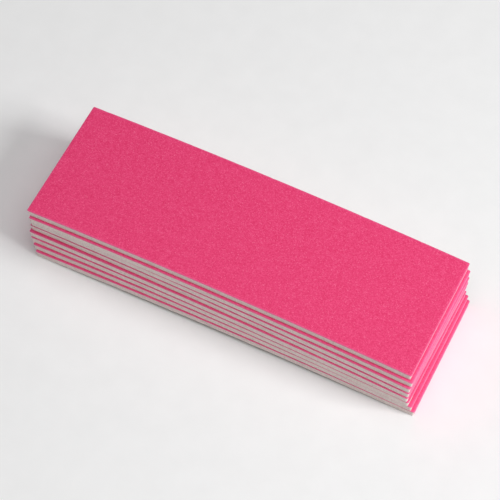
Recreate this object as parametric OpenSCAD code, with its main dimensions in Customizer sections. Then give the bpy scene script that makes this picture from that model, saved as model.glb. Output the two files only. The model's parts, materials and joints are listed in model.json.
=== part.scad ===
// A loose stack of eight nail buffer pads.
// Each pad is a foam core with an abrasive sheet bonded to its upper side.
// Millimetres, +Z up, long edge along X. The origin is the middle of the stack's
// footprint, on the surface that the bottom pad stands on.

/* [Pad] */
// Length of a pad, along its long edge
pad_length = 96; // [60:1:140]
// Width of a pad
pad_width = 32; // [20:1:45]

/* [Layers] */
// Thickness of the foam core
foam_thickness = 1.7; // [1:0.1:6]
// Thickness of the adhesive film between core and sheet
adhesive_thickness = 0.05; // [0.03:0.01:0.15]
// Thickness of the abrasive sheet
abrasive_thickness = 0.2; // [0.1:0.05:0.6]

/* [Curl] */
// How far the middle of a pad stands above its two ends
curl_rise = 1.25; // [0.5:0.05:3]
// Air left between one pad and the next
pad_gap = 0.03; // [0.02:0.01:0.2]

/* [Stacking] */
// Slide of the lower four pads along X, bottom pad first
lower_slide_x = [0.9, 0.3, -0.35, -0.6]; // [-3:0.05:3]
// Slide of the upper four pads along X, lowest first
upper_slide_x = [-0.45, -0.4, -0.4, -1.0]; // [-3:0.05:3]
// Slide of the lower four pads along Y, bottom pad first
lower_slide_y = [-0.5, -0.3, -0.2, -0.15]; // [-3:0.05:3]
// Slide of the upper four pads along Y, lowest first
upper_slide_y = [0.25, 0.35, 0.4, 0.95]; // [-3:0.05:3]
// Turn of the lower four pads in degrees, bottom pad first
lower_turn = [0.55, 0.2, -0.25, -0.45]; // [-1:0.05:1]
// Turn of the upper four pads in degrees, lowest first
upper_turn = [-0.7, -0.6, 0, 0]; // [-1:0.05:1]

/* [Hidden] */
slide_x = concat(lower_slide_x, upper_slide_x);
slide_y = concat(lower_slide_y, upper_slide_y);
turn = concat(lower_turn, upper_turn);
pad_count = len(turn);
pads = [1 : pad_count];

pad_thickness = foam_thickness + adhesive_thickness + abrasive_thickness;
pad_pitch = pad_thickness + pad_gap;

// Every pad is curled about one shared axis, so that the pads nest in each other.
curl_radius = pad_length * pad_length / (8 * curl_rise);
function under_radius(pad) = curl_radius + (pad - 1) * pad_pitch;
function arc_degrees(radius, arc_length) = arc_length / radius * 180 / PI;
function pad_degrees(pad) = arc_degrees(under_radius(pad) + pad_thickness / 2, pad_length);
function slide_degrees(pad) = arc_degrees(under_radius(pad), slide_x[pad - 1] - slide_x[0]);
curl_axis_depth = curl_radius * cos(pad_degrees(1) / 2);

// Facets of a full turn, which leaves about 24 along one pad
curl_facets = 1440;

LAYERS = ["foam_core", "adhesive_film", "abrasive_sheet"];

// Puts its children where a pad lies in the stack. The curl axis is their Y axis.
module place_pad(pad) {
    translate([slide_x[0], slide_y[pad - 1], -curl_axis_depth])
        rotate([0, slide_degrees(pad), 0])
            rotate([0, 0, turn[pad - 1]])
                children();
}

// One layer of a pad: a strip curled about the Y axis, start_height above the underside
module curled_strip(pad, start_height, thickness) {
    rotate([90, 0, 0])
        rotate([0, 0, 90 - pad_degrees(pad) / 2])
            rotate_extrude(angle = pad_degrees(pad), $fn = curl_facets)
                translate([under_radius(pad) + start_height, -pad_width / 2])
                    square([thickness, pad_width]);
}

module foam_core(pad) {
    color([0.93, 0.92, 0.9])
        place_pad(pad)
            curled_strip(pad, 0, foam_thickness);
}

module adhesive_film(pad) {
    color([0.97, 0.95, 0.88])
        place_pad(pad)
            curled_strip(pad, foam_thickness, adhesive_thickness);
}

module abrasive_sheet(pad) {
    color([0.91, 0.28, 0.47])
        place_pad(pad)
            curled_strip(pad, foam_thickness + adhesive_thickness, abrasive_thickness);
}

for (pad = pads) {
    foam_core(pad);
    adhesive_film(pad);
    abrasive_sheet(pad);
}
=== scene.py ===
"""The looks of a loose stack of nail buffer pads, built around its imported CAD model.

Every pad is three pieces: a die-cut foam core, the adhesive film on top of it, and the
pink abrasive sheet that the film holds. All lengths are in metres.
"""
import json
import math

import bpy
import numpy as np
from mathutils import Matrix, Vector

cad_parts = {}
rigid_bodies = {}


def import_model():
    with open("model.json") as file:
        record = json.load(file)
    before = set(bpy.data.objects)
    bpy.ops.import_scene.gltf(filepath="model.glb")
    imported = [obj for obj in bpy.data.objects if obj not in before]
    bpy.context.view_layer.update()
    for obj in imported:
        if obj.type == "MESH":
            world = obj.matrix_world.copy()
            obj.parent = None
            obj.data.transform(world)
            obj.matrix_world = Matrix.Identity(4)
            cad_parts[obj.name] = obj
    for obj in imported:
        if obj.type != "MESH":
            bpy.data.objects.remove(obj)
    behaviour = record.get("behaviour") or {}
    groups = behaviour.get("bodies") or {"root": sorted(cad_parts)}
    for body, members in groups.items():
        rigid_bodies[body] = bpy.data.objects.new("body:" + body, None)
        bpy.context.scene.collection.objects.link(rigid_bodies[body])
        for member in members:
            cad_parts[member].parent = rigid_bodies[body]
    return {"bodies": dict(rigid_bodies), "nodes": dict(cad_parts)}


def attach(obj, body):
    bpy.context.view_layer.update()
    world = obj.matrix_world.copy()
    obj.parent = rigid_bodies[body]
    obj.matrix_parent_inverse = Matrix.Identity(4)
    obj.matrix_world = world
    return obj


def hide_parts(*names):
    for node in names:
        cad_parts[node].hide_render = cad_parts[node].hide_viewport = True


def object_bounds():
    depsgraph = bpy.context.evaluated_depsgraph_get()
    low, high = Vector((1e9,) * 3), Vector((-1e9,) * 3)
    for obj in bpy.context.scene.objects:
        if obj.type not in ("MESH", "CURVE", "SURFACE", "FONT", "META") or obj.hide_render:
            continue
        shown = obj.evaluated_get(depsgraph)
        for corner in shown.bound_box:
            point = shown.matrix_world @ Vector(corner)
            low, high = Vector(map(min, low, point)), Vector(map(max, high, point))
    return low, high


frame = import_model()
cad_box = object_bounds()

MM = 0.001
TINY = 1e-9
SEED = 20
TOP_PAD = max(frame["bodies"])

# Camera: a long lens that looks down on the front and the right end
VIEW_AZIMUTH = math.radians(26.45)
VIEW_ELEVATION = math.radians(59.12)
VIEW_DISTANCE = 512.4 * MM
LENS_OVER_SENSOR = 4.475
SENSOR = 36.0
CLIP_NEAR, CLIP_FAR = 10 * MM, 10
# How far the middle of the picture lies from the middle of the stack
FRAMING = Vector((-0.74 * MM, 2.00 * MM, 0))

# Each piece is a closed slab with a dense grid of faces. CELL is their size, and EDGE_LINES
# says how far in from each edge the closer grid lines are. CORNER is the radius of its upright
# corners, and ROUNDING that of the edge round its free side.

# Foam core: how deep its cuts are hollow, wavy and pitted, and its underside uneven
FOAM_CELL = 0.6 * MM
FOAM_EDGE_LINES = np.array([0, 0.04, 0.12, 0.25, 0.45]) * MM
FOAM_UPPER_LEVELS = 8
FOAM_CORNER = 0.45 * MM
FOAM_ROUNDING = 0.12 * MM
FOAM_HOLLOW = 0.05 * MM
FOAM_WANDER, FOAM_WANDER_PATCH = 0.05 * MM, 4 * MM
FOAM_PITS = 0.035 * MM
FOAM_UNEVEN, FOAM_UNEVEN_PATCH = 0.02 * MM, 2 * MM
FOAM_TRIM_REACH = 2 * MM

# Pink on the foam: how far below the sheet the dust reaches on the long sides and how strong it
# is there, how uneven the pink tint is on the end cuts, and how the tint begins there beside a
# bare stretch
DUST_REACH = 0.4 * MM
SIDE_DUST = 0.35
END_TINT_UNEVEN, END_TINT_PATCH = 0.08, 1.5 * MM
END_TINT_FADE = 0.5 * MM
LEFT_BARE = 0.3 * MM
# For each pad: the share of pink tint on its end cuts, and how far from the front its right end
# cut is bare. The left one is bare over LEFT_BARE.
END_TINT = {
    "pad_1": (0.85, 0.2 * MM),
    "pad_2": (0.85, 0.2 * MM),
    "pad_3": (0.85, 2.2 * MM),
    "pad_4": (0.90, 0.5 * MM),
    "pad_5": (0.90, 0.3 * MM),
    "pad_6": (0.90, 0.3 * MM),
    "pad_7": (1.00, 0.2 * MM),
    "pad_8": (0.75, 0.2 * MM),
}

# Adhesive film: it stops short of the cut edge by a recess, along a wandering line
FILM_CELL = 1.0 * MM
FILM_EDGE_LINES = np.array([0, 0.15, 0.4, 1.0]) * MM
FILM_CORNER = 0.4 * MM
FILM_RECESS = 0.05 * MM
FILM_WANDER, FILM_WANDER_PATCH = 0.1 * MM, 3 * MM

# Abrasive sheet: its edge is pressed down by a roll-off, and nicked where the noise is highest
SHEET_CELL = 0.5 * MM
SHEET_EDGE_LINES = np.array([0, 0.03, 0.08, 0.2, 0.45]) * MM
SHEET_LEVELS = np.array([0, 0.5, 0.8, 1])
SHEET_CORNER = 0.3 * MM
SHEET_ROUNDING = 0.08 * MM
SHEET_ROLL_OFF, SHEET_ROLL_REACH = 0.05 * MM, 0.3 * MM
SHEET_NICKS, SHEET_NICK_PATCH, SHEET_NICK_START = 0.08 * MM, 0.9 * MM, 0.6
SHEET_TRIM_REACH = 1 * MM
# Patch size and depth of each set of low spots on the abrasive side
SHEET_DIMPLES = [(3 * MM, 0.005 * MM), (1.2 * MM, 0.005 * MM)]
# How far in the sheets are paled along their rims, by wear and by painted bounce light, and how
# far and how strongly by painted bounce light at the ends that stick out as ledges
RIM_REACH = 0.2 * MM
LEDGE_REACH, LEDGE_BOUNCE_LIGHT = 1.2 * MM, 0.4

# Patch sizes in the materials
GRIT_CLUMP = 1.1 * MM
GRIT_GRAIN = 0.38 * MM
GRIT_CRYSTAL = 0.16 * MM
FOAM_BUBBLE = 0.24 * MM
FOAM_CLOUD = 4 * MM
DUST_AND_TINT_STREAK = 0.3 * MM
FILM_STREAK = 0.8 * MM
FLOOR_CLOUD = 6 * MM

# Colours, linear, and how strongly the painted glints and the rims (worn, with painted bounce
# light) take theirs
DEEP_PINK, PINK, LIGHT_PINK = (0.74, 0.018, 0.120), (0.83, 0.042, 0.173), (0.92, 0.083, 0.236)
PAINTED_GLINT_PINK, PAINTED_GLINT_STRENGTH = (1.0, 0.45, 0.60, 1), 0.12
WORN_AND_BOUNCE_PINK, WEAR_AND_BOUNCE_STRENGTH = (0.87, 0.23, 0.47, 1), 0.4
DUST_AND_TINT_PINK = (0.88, 0.14, 0.33, 1)
BLACK, WHITE = (0, 0, 0), (1, 1, 1)
FOAM_LIGHT, FOAM_WHITE, FOAM_DARK = (0.91, 0.80, 0.77), (0.85, 0.725, 0.69), (0.72, 0.59, 0.55)
MILK_DARK, MILK_LIGHT = (0.80, 0.76, 0.67), (0.90, 0.88, 0.81)
FLOOR_DARK, FLOOR_LIGHT = (0.89, 0.89, 0.89), (0.91, 0.91, 0.91)

# Studio
FLOOR_SIDE = 3.0
SURROUND_STRENGTH = 0.2


# ---------------------------------------------------------------- geometry


class Strip:
    """A CAD layer of a curled pad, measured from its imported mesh.

    It places flat points, given along it, across it and above its underside.
    """

    # A corner is the vertex furthest out in a direction that is mostly along X, with this
    # much of Y, and this much up or down
    SIDEWAYS = 0.3
    UP, DOWN = 0.01, -0.2

    def __init__(self, node):
        points = np.array([v.co for v in frame["nodes"][node].data.vertices])

        def corner(x_side, y_side, tilt=self.DOWN):
            return points[(points @ (x_side, self.SIDEWAYS * y_side, tilt)).argmax()]

        left, right = [(corner(x, -1) + corner(x, 1)) / 2 for x in (-1, 1)]
        front, back = [(corner(-1, y) + corner(1, y)) / 2 for y in (-1, 1)]
        chord = np.linalg.norm(right - left)
        self.width = np.linalg.norm(back - front)
        self.thickness = np.linalg.norm(corner(1, 1, self.UP) - corner(1, 1))
        self.long, self.wide = (right - left) / chord, (back - front) / self.width
        self.normal = np.cross(self.long, self.wide)

        # The circle through both ends of the underside and one more point of it
        middle = (left + right) / 2
        along, height = (points - middle) @ self.long, (points - middle) @ self.normal
        lowest = np.where(abs(along) < chord / 4, height, np.inf).argmin()
        a, b = along[lowest], height[lowest]
        depth = (chord**2 / 4 - a * a - b * b) / (2 * b)
        self.radius = math.hypot(depth, chord / 2)
        self.axis = middle - depth * self.normal
        self.length = 2 * self.radius * math.asin(chord / 2 / self.radius)

    def place(self, flat):
        """Curls flat points, each (along, across, up), and puts them where the pad is."""
        angle = flat[:, :1] / self.radius
        outward = np.sin(angle) * self.long + np.cos(angle) * self.normal
        return self.axis + (self.radius + flat[:, 2:]) * outward + flat[:, 1:2] * self.wide

    def inset(self, flat):
        """How far each flat point is from the ends and from the long sides."""
        return np.array([self.length, self.width]) / 2 - abs(flat[:, :2])


def grid_lines(length, cell, edge_lines):
    """Grid lines centred on 0: even cells, with closer lines beside both ends."""
    inner = length / 2 - edge_lines[-1]
    middle = np.linspace(-inner, inner, round(2 * inner / cell) + 1)
    edge = length / 2 - edge_lines[:-1]
    return np.concatenate([-edge, middle, edge[::-1]])


def closed_slab(rows, columns, levels, bonded):
    """Flat points and faces of a closed slab on those grid lines.

    bonded is the level, 0 or -1, that is stuck to another layer. It is never seen, so it
    has one long face to each row. The rest is a fine grid.
    """
    shape = len(rows), len(columns), len(levels)
    on_skin = np.ones(shape, bool)
    on_skin[1:-1, 1:-1, 1:-1] = False
    on_skin[1:-1, 1:-1, bonded] = False
    ids = np.full(shape, -1)
    ids[on_skin] = np.arange(on_skin.sum())
    flat = np.stack(np.meshgrid(rows, columns, levels, indexing="ij"), -1)[on_skin]

    def quads(sheet, turned):
        corners = [sheet[:-1, :-1], sheet[1:, :-1], sheet[1:, 1:], sheet[:-1, 1:]]
        faces = np.stack(corners, -1).reshape(-1, 4)
        return (faces[:, ::-1] if turned else faces).tolist()

    top_seen = bonded == 0
    faces = quads(ids[:, :, -1 if top_seen else 0], turned=not top_seen)
    faces += quads(ids[:, 0, :], turned=False) + quads(ids[:, -1, :], turned=True)
    faces += quads(ids[0, :, :], turned=True) + quads(ids[-1, :, :], turned=False)
    hidden = ids[:, :, bonded]
    near, far = hidden[:, 0], hidden[:, -1]
    last = len(rows) - 2
    for row in range(last + 1):
        first_end = hidden[0, -1:0:-1] if row == 0 else far[row : row + 1]
        second_end = hidden[-1, :-1] if row == last else near[row + 1 : row + 2]
        loop = [near[row], *second_end, far[row + 1], *first_end]
        faces.append([int(i) for i in (loop[::-1] if top_seen else loop)])
    return flat, faces


def smooth_noise(rng, first, second, patch):
    """Random values from -1 to 1 over the points (first, second), that change over a patch."""
    first, second = (first - first.min()) / patch, (second - second.min()) / patch
    i, j = first.astype(int), second.astype(int)
    lattice = rng.uniform(-1, 1, (i.max() + 2, j.max() + 2))
    u, v = first - i, second - j
    u, v = u * u * (3 - 2 * u), v * v * (3 - 2 * v)
    near = lattice[i, j] * (1 - u) + lattice[i + 1, j] * u
    far = lattice[i, j + 1] * (1 - u) + lattice[i + 1, j + 1] * u
    return near * (1 - v) + far * v


def edge_noise(rng, flat, strip, patch):
    """Noise for each point's nearest end and nearest long side, as two columns."""
    ends = np.where(flat[:, 0] > 0, 2 * strip.width, 0) + flat[:, 1]
    sides = np.where(flat[:, 1] > 0, 2 * strip.length, 0) + flat[:, 0]
    return np.stack([smooth_noise(rng, run, flat[:, 2], patch) for run in (ends, sides)], -1)


def trimmed(flat, strip, depth, reach):
    """The points with the ends and sides cut back by depth, easing off over reach."""
    pull = depth * np.clip(1 - strip.inset(flat) / reach, 0, 1)
    cut = flat.copy()
    cut[:, :2] -= np.sign(flat[:, :2]) * pull
    return cut


def onto_arc(deep):
    """How far to step back from two flat faces to reach the arc between them.

    deep says, for each face, how far a point is inside the arc's reach.
    """
    total = np.linalg.norm(deep, axis=1)
    spare = np.zeros(len(deep))
    spare[total > 0] = 1 - deep[total > 0].max(1) / total[total > 0]
    return deep * spare[:, None]


def rounded(flat, strip, corner, edge, free_side):
    """The points with the upright corners rounded, and the edge all round the free side.

    corner and edge are the two radii. free_side is 1 for the top and -1 for the underside.
    """
    deep = np.maximum(corner - strip.inset(flat), 0)
    total = np.maximum(np.linalg.norm(deep, axis=1), TINY)
    outwards = np.sign(flat[:, :2]) * deep / total[:, None]
    from_outline = corner - deep.max(1)
    from_free = strip.thickness - flat[:, 2] if free_side > 0 else flat[:, 2]
    back = onto_arc(np.maximum(edge - np.column_stack([from_outline, from_free]), 0))
    shaped = flat.copy()
    shaped[:, :2] -= np.sign(flat[:, :2]) * onto_arc(deep) + outwards * back[:, :1]
    shaped[:, 2] -= free_side * back[:, 1]
    return shaped


def add_piece(name, points, faces, material, marks):
    """A smooth mesh object. marks are its point attributes, which the materials read."""
    mesh = bpy.data.meshes.new(name)
    mesh.from_pydata(points.tolist(), [], faces)
    mesh.shade_smooth()
    for mark, values in marks.items():
        mesh.attributes.new(mark, "FLOAT", "POINT").data.foreach_set("value", values)
    mesh.materials.append(material)
    piece = bpy.data.objects.new(name, mesh)
    bpy.context.scene.collection.objects.link(piece)
    return piece


# ---------------------------------------------------------------- materials


class Shader:
    """A node material: add() makes a node and links or sets its inputs by name."""

    def __init__(self, name):
        self.material = bpy.data.materials.new(name)
        self.material.use_nodes = True
        self.tree = self.material.node_tree
        self.surface = self.tree.nodes["Principled BSDF"]
        self.place = self.add("TexCoord").outputs["Object"]

    def feed(self, node, inputs):
        for socket, value in inputs.items():
            if isinstance(value, bpy.types.NodeSocket):
                self.tree.links.new(value, node.inputs[socket])
            else:
                node.inputs[socket].default_value = value

    def add(self, kind, inputs=None, **settings):
        node = self.tree.nodes.new("ShaderNode" + kind)
        for setting, value in settings.items():
            setattr(node, setting, value)
        self.feed(node, inputs or {})
        return node

    def noise(self, patch, detail=2.0, roughness=0.5, drawn_out=1):
        """Clouds of about a patch across, and drawn_out times as high."""
        squeeze = {"Vector": self.place, "Scale": (1, 1, 1 / drawn_out)}
        place = self.add("Mapping", squeeze).outputs[0]
        inputs = {"Vector": place, "Scale": 1 / patch, "Detail": detail, "Roughness": roughness}
        return self.add("TexNoise", inputs).outputs["Fac"]

    def cells(self, size):
        """(distance from the nearest cell's middle, a random number for that cell)"""
        cells = self.add("TexVoronoi", {"Vector": self.place, "Scale": 1 / size})
        number = self.add("SeparateColor", {"Color": cells.outputs["Color"]})
        return cells.outputs["Distance"], number.outputs["Red"]

    def mark(self, name):
        return self.add("Attribute", attribute_name=name).outputs["Fac"]

    def math(self, operation, first, second):
        return self.add("Math", {0: first, 1: second}, operation=operation).outputs[0]

    def weighted(self, *terms):
        """The sum of (value, weight) terms."""
        parts = [self.math("MULTIPLY", value, weight) for value, weight in terms]
        total = parts[0]
        for part in parts[1:]:
            total = self.math("ADD", total, part)
        return total

    def ramp(self, value, *stops):
        """A colour from (position, colour) stops."""
        node = self.add("ValToRGB", {"Fac": value})
        elements = node.color_ramp.elements
        for element, (position, colour) in zip(elements, (stops[0], stops[-1])):
            element.position, element.color = position, (*colour, 1)
        for position, colour in stops[1:-1]:
            elements.new(position).color = (*colour, 1)
        return node.outputs["Color"]

    def mix(self, share, colour, other):
        """The colour with that share of the other one. Sockets 6 and 7 are the RGBA inputs."""
        node = self.add("Mix", data_type="RGBA")
        self.feed(node, {0: share, 6: colour, 7: other})
        return node.outputs[2]

    def spread(self, value, lowest, highest):
        inputs = {"Value": value, "To Min": lowest, "To Max": highest}
        return self.add("MapRange", inputs).outputs[0]

    def bump(self, height, distance, below=None):
        inputs = {"Height": height, "Distance": distance, "Strength": 1.0}
        if below is not None:
            inputs["Normal"] = below
        return self.add("Bump", inputs).outputs["Normal"]


def abrasive_material():
    """Pink grit: fine crystals in soft grains, with a few painted glints, and paler along the rims
    from wear and painted bounce light.
    """
    shader = Shader("pink_abrasive")
    clumps = shader.noise(GRIT_CLUMP, detail=1.0)
    grains = shader.noise(GRIT_GRAIN, detail=2.0, roughness=0.6)
    crystal_form, crystal = shader.cells(GRIT_CRYSTAL)
    tone = shader.weighted((grains, 0.6), (clumps, 0.15), (crystal, 0.25))
    pink = shader.ramp(tone, (0.30, DEEP_PINK), (0.50, PINK), (0.70, LIGHT_PINK))
    # Painted highlight: a few crystals take a light pink that stands in for glints of light
    painted_glint = shader.ramp(crystal, (0.93, BLACK), (0.97, WHITE))
    painted_glint_share = shader.math("MULTIPLY", painted_glint, PAINTED_GLINT_STRENGTH)
    # Worn rims, and painted bounce light on the rims and end ledges, take a pale pink
    wear_and_bounce = shader.math("MULTIPLY", shader.mark("rim_wear_and_bounce"), WEAR_AND_BOUNCE_STRENGTH)
    pink = shader.mix(wear_and_bounce, shader.mix(painted_glint_share, pink, PAINTED_GLINT_PINK), WORN_AND_BOUNCE_PINK)
    coarse = shader.bump(shader.weighted((clumps, 0.2), (grains, 0.8)), 0.018 * MM)
    grit = shader.bump(crystal_form, 0.02 * MM, coarse)
    roughness = shader.spread(shader.weighted((crystal, 0.6), (grains, 0.4)), 0.62, 0.86)
    shader.feed(shader.surface, {"Base Color": pink, "Roughness": roughness, "Normal": grit})
    return shader.material


def foam_material():
    """Off-white closed-cell foam: small cells, and streaks of pink where it is marked: dust on the
    long sides, a tint on the end cuts.
    """
    shader = Shader("white_foam")
    cell_form, cell_tone = shader.cells(FOAM_BUBBLE)
    clouds = shader.noise(FOAM_CLOUD, detail=3.0)
    tone = shader.weighted((cell_form, 0.45), (cell_tone, 0.25), (clouds, 0.3))
    white = shader.ramp(tone, (0.25, FOAM_LIGHT), (0.50, FOAM_WHITE), (0.75, FOAM_DARK))
    streaks = shader.noise(DUST_AND_TINT_STREAK, detail=3.0, roughness=0.6, drawn_out=5)
    # Pink dust on the long sides and the pink tint on the end cuts, broken into streaks
    dust_and_tint_share = shader.math("MULTIPLY", shader.mark("dust_and_tint"), shader.spread(streaks, 0.7, 1.2))
    white = shader.mix(dust_and_tint_share, white, DUST_AND_TINT_PINK)
    uneven = shader.bump(clouds, 0.04 * MM)
    pits = shader.bump(cell_form, 0.05 * MM, uneven)
    roughness = shader.spread(cell_tone, 0.8, 0.98)
    shader.feed(shader.surface, {"Base Color": white, "Roughness": roughness, "Normal": pits})
    return shader.material


def adhesive_material():
    """A milky film with a slightly wet look where it shows between core and sheet."""
    shader = Shader("milky_adhesive")
    streaks = shader.noise(FILM_STREAK, detail=3.0, roughness=0.6)
    milk = shader.ramp(streaks, (0.35, MILK_DARK), (0.65, MILK_LIGHT))
    ripples = shader.bump(streaks, 0.01 * MM)
    roughness = shader.spread(streaks, 0.25, 0.5)
    shader.feed(shader.surface, {"Base Color": milk, "Roughness": roughness, "Normal": ripples})
    return shader.material


# ---------------------------------------------------------------- pieces


def pink_dust_and_tint(rng, flat, strip, share, bare_length):
    """How much pink each point of a core takes.

    The end cuts are tinted pink all the way down, and pink dust reaches only a little way down the
    sides.
    """
    from_end, from_side = strip.inset(flat).T
    below_sheet = (strip.thickness - flat[:, 2]) / DUST_REACH
    at_top = SIDE_DUST * np.clip(1 - below_sheet, 0, 1) * (from_side == 0)
    uneven = 1 + END_TINT_UNEVEN * smooth_noise(rng, flat[:, 1], flat[:, 0], END_TINT_PATCH)
    bare = np.where(flat[:, 0] > 0, bare_length, LEFT_BARE)
    from_bare = flat[:, 1] + strip.width / 2 - bare
    # The end cuts are tinted pink all the way down, apart from a bare stretch at the front
    down_end = share * uneven * np.clip(from_bare / END_TINT_FADE, 0, 1)
    return np.where(from_end == 0, down_end, at_top)


def foam_core(pad, rng, material):
    """The core: slightly hollow die-cut faces with open cells, and a softly rounded lower edge."""
    node = f"{pad}_foam_core"
    strip = Strip(node)
    rows = grid_lines(strip.length, FOAM_CELL, FOAM_EDGE_LINES)
    columns = grid_lines(strip.width, FOAM_CELL, FOAM_EDGE_LINES)
    *low, first_upper, _ = FOAM_EDGE_LINES
    upper = np.linspace(first_upper, strip.thickness, FOAM_UPPER_LEVELS)
    levels = np.concatenate([low, upper])
    flat, faces = closed_slab(rows, columns, levels, bonded=-1)

    height = flat[:, 2] / strip.thickness
    on_cut = strip.inset(flat).min(1) == 0
    inside = on_cut & (height > 0) & (height < 1)
    hollow = FOAM_HOLLOW * 4 * height * (1 - height)
    wander = FOAM_WANDER / 2 * (1 + edge_noise(rng, flat, strip, FOAM_WANDER_PATCH))
    pits = FOAM_PITS * rng.uniform(0, 1, (len(flat), 1)) * inside[:, None]
    bumps = smooth_noise(rng, flat[:, 0], flat[:, 1], FOAM_UNEVEN_PATCH)
    uneven = FOAM_UNEVEN / 2 * (1 + bumps)
    dust_and_tint = pink_dust_and_tint(rng, flat, strip, *END_TINT[pad])

    shaped = rounded(flat, strip, FOAM_CORNER, FOAM_ROUNDING, free_side=-1)
    shaped = trimmed(shaped, strip, hollow[:, None] + wander + pits, reach=FOAM_TRIM_REACH)
    shaped[:, 2] += uneven * (1 - height)
    piece = add_piece(f"{pad}_foam", strip.place(shaped), faces, material, {"dust_and_tint": dust_and_tint})
    return piece, node


def adhesive_film(pad, rng, material):
    """The film: it ends a little inside the cut edge, along an uneven line."""
    node = f"{pad}_adhesive_film"
    strip = Strip(node)
    rows = grid_lines(strip.length, FILM_CELL, FILM_EDGE_LINES)
    columns = grid_lines(strip.width, FILM_CELL, FILM_EDGE_LINES)
    flat, faces = closed_slab(rows, columns, np.array([0, strip.thickness]), bonded=0)
    wander = FILM_WANDER / 2 * (1 + edge_noise(rng, flat, strip, FILM_WANDER_PATCH))
    shaped = rounded(flat, strip, FILM_CORNER, 0, free_side=1)
    shaped = trimmed(shaped, strip, FILM_RECESS + wander, reach=FILM_CELL)
    piece = add_piece(f"{pad}_film", strip.place(shaped), faces, material, {})
    return piece, node


def abrasive_sheet(pad, rng, material):
    """The sheet: a faintly dimpled abrasive side, with edges that the die pressed and nicked."""
    node = f"{pad}_abrasive_sheet"
    strip = Strip(node)
    rows = grid_lines(strip.length, SHEET_CELL, SHEET_EDGE_LINES)
    columns = grid_lines(strip.width, SHEET_CELL, SHEET_EDGE_LINES)
    flat, faces = closed_slab(rows, columns, SHEET_LEVELS * strip.thickness, bonded=0)

    height = flat[:, 2] / strip.thickness
    from_edge = strip.inset(flat).min(1)
    drop = SHEET_ROLL_OFF * np.exp(-((from_edge / SHEET_ROLL_REACH) ** 2))
    for patch, depth in SHEET_DIMPLES:
        drop += depth / 2 * (1 + smooth_noise(rng, flat[:, 0], flat[:, 1], patch))
    past_start = edge_noise(rng, flat, strip, SHEET_NICK_PATCH) - SHEET_NICK_START
    nicks = SHEET_NICKS * np.clip(past_start, 0, 1) / (1 - SHEET_NICK_START)
    # The rims are worn and also carry painted bounce light. On the lower pads the end ledges get
    # more painted bounce light
    rim_wear_and_bounce = np.exp(-((from_edge / RIM_REACH) ** 2))
    if pad != TOP_PAD:
        rim_wear_and_bounce += LEDGE_BOUNCE_LIGHT * np.exp(-((strip.inset(flat)[:, 0] / LEDGE_REACH) ** 2))

    shaped = rounded(flat, strip, SHEET_CORNER, SHEET_ROUNDING, free_side=1)
    shaped = trimmed(shaped, strip, nicks, reach=SHEET_TRIM_REACH)
    shaped[:, 2] -= drop * height
    piece = add_piece(f"{pad}_sheet", strip.place(shaped), faces, material, {"rim_wear_and_bounce": rim_wear_and_bounce})
    return piece, node


def build_pads():
    layers = [
        (foam_core, foam_material()),
        (adhesive_film, adhesive_material()),
        (abrasive_sheet, abrasive_material()),
    ]
    rng = np.random.default_rng(SEED)
    for pad in sorted(frame["bodies"]):
        for build, material in layers:
            piece, node = build(pad, rng, material)
            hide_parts(node)
            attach(piece, pad)


# ---------------------------------------------------------------- studio


def add_camera(centre):
    data = bpy.data.cameras.new("camera")
    data.sensor_width = SENSOR
    data.lens = SENSOR * LENS_OVER_SENSOR
    data.clip_start, data.clip_end = CLIP_NEAR, CLIP_FAR
    camera = bpy.data.objects.new("camera", data)
    back = Vector((math.sin(VIEW_AZIMUTH), -math.cos(VIEW_AZIMUTH), 0))
    back *= math.cos(VIEW_ELEVATION)
    back.z = math.sin(VIEW_ELEVATION)
    camera.location = centre + FRAMING + back * VIEW_DISTANCE
    camera.rotation_euler = (-back).to_track_quat("-Z", "Y").to_euler()
    bpy.context.scene.collection.objects.link(camera)
    bpy.context.scene.camera = camera


def add_floor(centre):
    """A plain pale floor under the stack."""
    mesh = bpy.data.meshes.new("floor")
    half = FLOOR_SIDE / 2
    turns = (-1, -1), (1, -1), (1, 1), (-1, 1)
    corners = [(centre.x + x * half, centre.y + y * half, 0) for x, y in turns]
    mesh.from_pydata(corners, [], [(0, 1, 2, 3)])
    shader = Shader("pale_floor")
    clouds = shader.noise(FLOOR_CLOUD, detail=4.0)
    pale = shader.ramp(clouds, (0.3, FLOOR_DARK), (0.7, FLOOR_LIGHT))
    roughness = shader.spread(clouds, 0.7, 0.9)
    shader.feed(shader.surface, {"Base Color": pale, "Roughness": roughness})
    mesh.materials.append(shader.material)
    floor = bpy.data.objects.new("floor", mesh)
    bpy.context.scene.collection.objects.link(floor)


def add_softbox(name, centre, direction, distance, size, power):
    """A square area light that faces the stack from a direction. Its power is in watts."""
    data = bpy.data.lights.new(name, "AREA")
    data.size = size
    data.energy = power
    lamp = bpy.data.objects.new(name, data)
    towards = Vector(direction).normalized()
    lamp.location = centre + towards * distance
    lamp.rotation_euler = (-towards).to_track_quat("-Z", "Y").to_euler()
    bpy.context.scene.collection.objects.link(lamp)


def light_studio(centre):
    """A large soft key from the right, a weaker light overhead, and a dim surround."""
    from_right, from_above = (0.85, 0.07, 0.55), (0.1, -0.1, 1.0)
    add_softbox("key", centre, from_right, distance=0.8, size=0.32, power=4.65)
    add_softbox("overhead", centre, from_above, distance=0.5, size=0.45, power=1.15)
    world = bpy.data.worlds.new("surround")
    world.use_nodes = True
    surround = world.node_tree.nodes["Background"]
    surround.inputs["Color"].default_value = (*WHITE, 1)
    surround.inputs["Strength"].default_value = SURROUND_STRENGTH
    bpy.context.scene.world = world
    bpy.context.scene.view_settings.view_transform = "Standard"


stack_centre = (cad_box[0] + cad_box[1]) / 2
add_camera(stack_centre)
build_pads()
add_floor(stack_centre)
light_studio(stack_centre)
